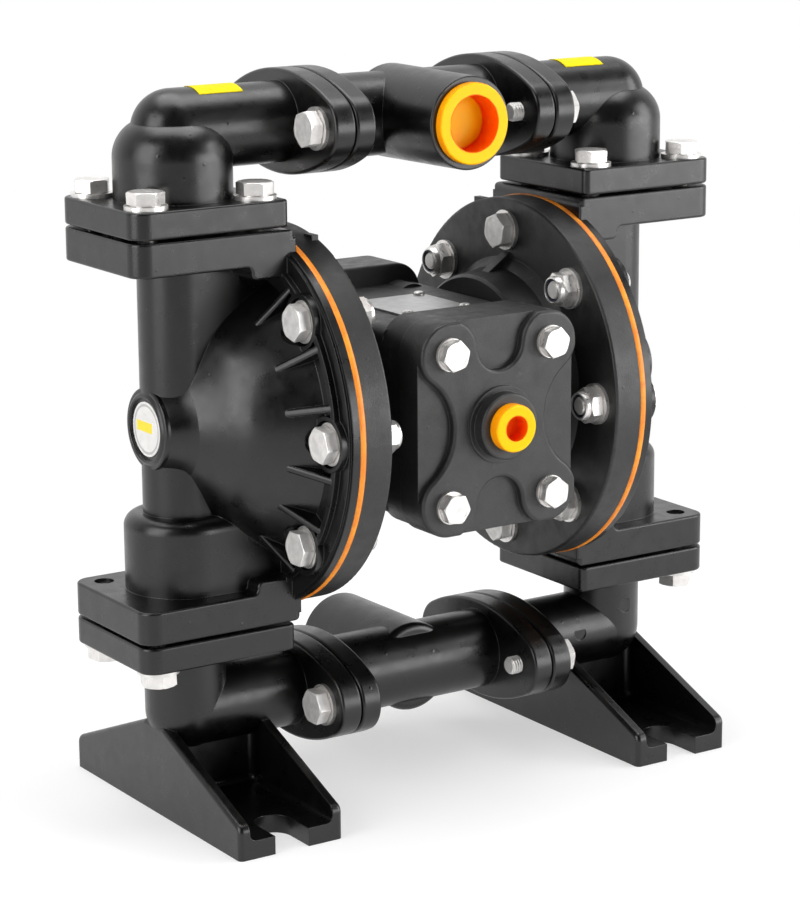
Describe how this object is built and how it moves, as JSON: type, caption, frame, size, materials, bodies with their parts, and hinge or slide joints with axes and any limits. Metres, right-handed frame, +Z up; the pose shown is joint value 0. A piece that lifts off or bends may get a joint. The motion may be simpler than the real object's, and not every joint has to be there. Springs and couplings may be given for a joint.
{
  "type": "air operated diaphragm pump",
  "caption": "Air operated double diaphragm pump with ribbed fluid caps, bolted ball-check columns, a front air valve cover, slotted feet and plugged ports.",
  "frame": {"origin": "middle of the pump on the floor plane under the feet", "axes": "+X across the diaphragms from the labelled cap to the plain one, +Y from the air inlet to the back, +Z up"},
  "size_m": [0.2788, 0.1664, 0.2975],
  "materials": {
    "black_cast": "black satin coating over fine cast grain",
    "body_black": "matte dark grey glass-filled plastic",
    "orange_elastomer": "smooth moulded orange elastomer",
    "stainless": "bright stainless steel",
    "plate_alloy": "thin bare aluminium",
    "rod_steel": "ground steel",
    "seal_black": "black seal rubber",
    "ball_white": "white polymer ball",
    "seat_black": "black moulded seat",
    "bronze": "plain bronze bush",
    "plug_yellow": "translucent yellow plug",
    "muffler_grey": "dark plastic silencer",
    "label_white": "plain pale label",
    "sticker_yellow": "yellow film",
    "diaphragm_plate": "turned aluminium plate"
  },
  "bodies": {
    "pump": {"fluid_cap_right": "black_cast", "fluid_cap_left": "black_cast", "discharge_elbow_right": "black_cast", "discharge_elbow_left": "black_cast", "inlet_foot_elbow_right": "black_cast", "inlet_foot_elbow_left": "black_cast", "discharge_tee": "black_cast", "inlet_tee": "black_cast", "air_cap_right": "body_black", "air_cap_left": "body_black", "center_body": "body_black", "valve_cover": "body_black", "diaphragm_right": "orange_elastomer", "diaphragm_left": "orange_elastomer", "spool_sleeve": "rod_steel", "inlet_seat_right": "seat_black", "inlet_seat_left": "seat_black", "discharge_seat_right": "seat_black", "discharge_seat_left": "seat_black", "seat_seals": "seal_black", "manifold_seals": "seal_black", "cover_gasket": "seal_black", "rod_bushes": "bronze", "exhaust_muffler": "muffler_grey", "column_bolts": "stainless", "column_washers": "stainless", "manifold_bolts": "stainless", "manifold_washers": "stainless", "rim_bolts_right": "stainless", "rim_washers_right": "stainless", "rim_nuts_right": "stainless", "rim_bolts_left": "stainless", "rim_washers_left": "stainless", "rim_nuts_left": "stainless", "cover_bolts": "stainless", "cover_washers": "stainless", "air_cap_screws": "stainless", "nameplate_rivets": "stainless", "nameplate": "plate_alloy", "flow_sticker_right": "sticker_yellow", "flow_sticker_left": "sticker_yellow", "cap_label": "label_white"},
    "diaphragm_drive": {"connecting_rod": "rod_steel", "inner_plate_right": "diaphragm_plate", "inner_plate_left": "diaphragm_plate", "outer_plate_right": "diaphragm_plate", "outer_plate_left": "diaphragm_plate"},
    "pilot": {"pilot_rod": "rod_steel"},
    "spool": {"valve_spool": "rod_steel"},
    "inlet_ball_right": {"inlet_ball_right": "ball_white"},
    "inlet_ball_left": {"inlet_ball_left": "ball_white"},
    "discharge_ball_right": {"discharge_ball_right": "ball_white"},
    "discharge_ball_left": {"discharge_ball_left": "ball_white"},
    "outlet_plug": {"outlet_plug": "plug_yellow"},
    "inlet_plug": {"inlet_plug": "plug_yellow"},
    "air_plug": {"air_plug": "plug_yellow"}
  },
  "joints": [
    {"name": "diaphragm_stroke", "type": "slide", "parent": "pump", "child": "diaphragm_drive", "axis": [1, 0, 0], "range_m": [-0.007, 0.007], "deforming": ["diaphragm_right", "diaphragm_left"]},
    {"name": "pilot_shift", "type": "slide", "parent": "pump", "child": "pilot", "axis": [1, 0, 0], "range_m": [-0.003, 0.003]},
    {"name": "spool_shift", "type": "slide", "parent": "pump", "child": "spool", "axis": [1, 0, 0], "range_m": [-0.004, 0.004]},
    {"name": "inlet_ball_right_lift", "type": "slide", "parent": "pump", "child": "inlet_ball_right", "axis": [0, 0, 1], "range_m": [0, 0.007]},
    {"name": "inlet_ball_left_lift", "type": "slide", "parent": "pump", "child": "inlet_ball_left", "axis": [0, 0, 1], "range_m": [0, 0.007]},
    {"name": "discharge_ball_right_lift", "type": "slide", "parent": "pump", "child": "discharge_ball_right", "axis": [0, 0, 1], "range_m": [0, 0.007]},
    {"name": "discharge_ball_left_lift", "type": "slide", "parent": "pump", "child": "discharge_ball_left", "axis": [0, 0, 1], "range_m": [0, 0.007]},
    {"name": "outlet_plug_pull", "type": "slide", "parent": "pump", "child": "outlet_plug", "axis": [0, -1, 0], "range_m": [0, 0.08]},
    {"name": "inlet_plug_pull", "type": "slide", "parent": "pump", "child": "inlet_plug", "axis": [0, 1, 0], "range_m": [0, 0.08]},
    {"name": "air_plug_pull", "type": "slide", "parent": "pump", "child": "air_plug", "axis": [0, -1, 0], "range_m": [0, 0.06]}
  ],
  "couplings": [
    {"joint": "pilot_shift", "follows": "diaphragm_stroke", "ratio": 0.42857}
  ]
}
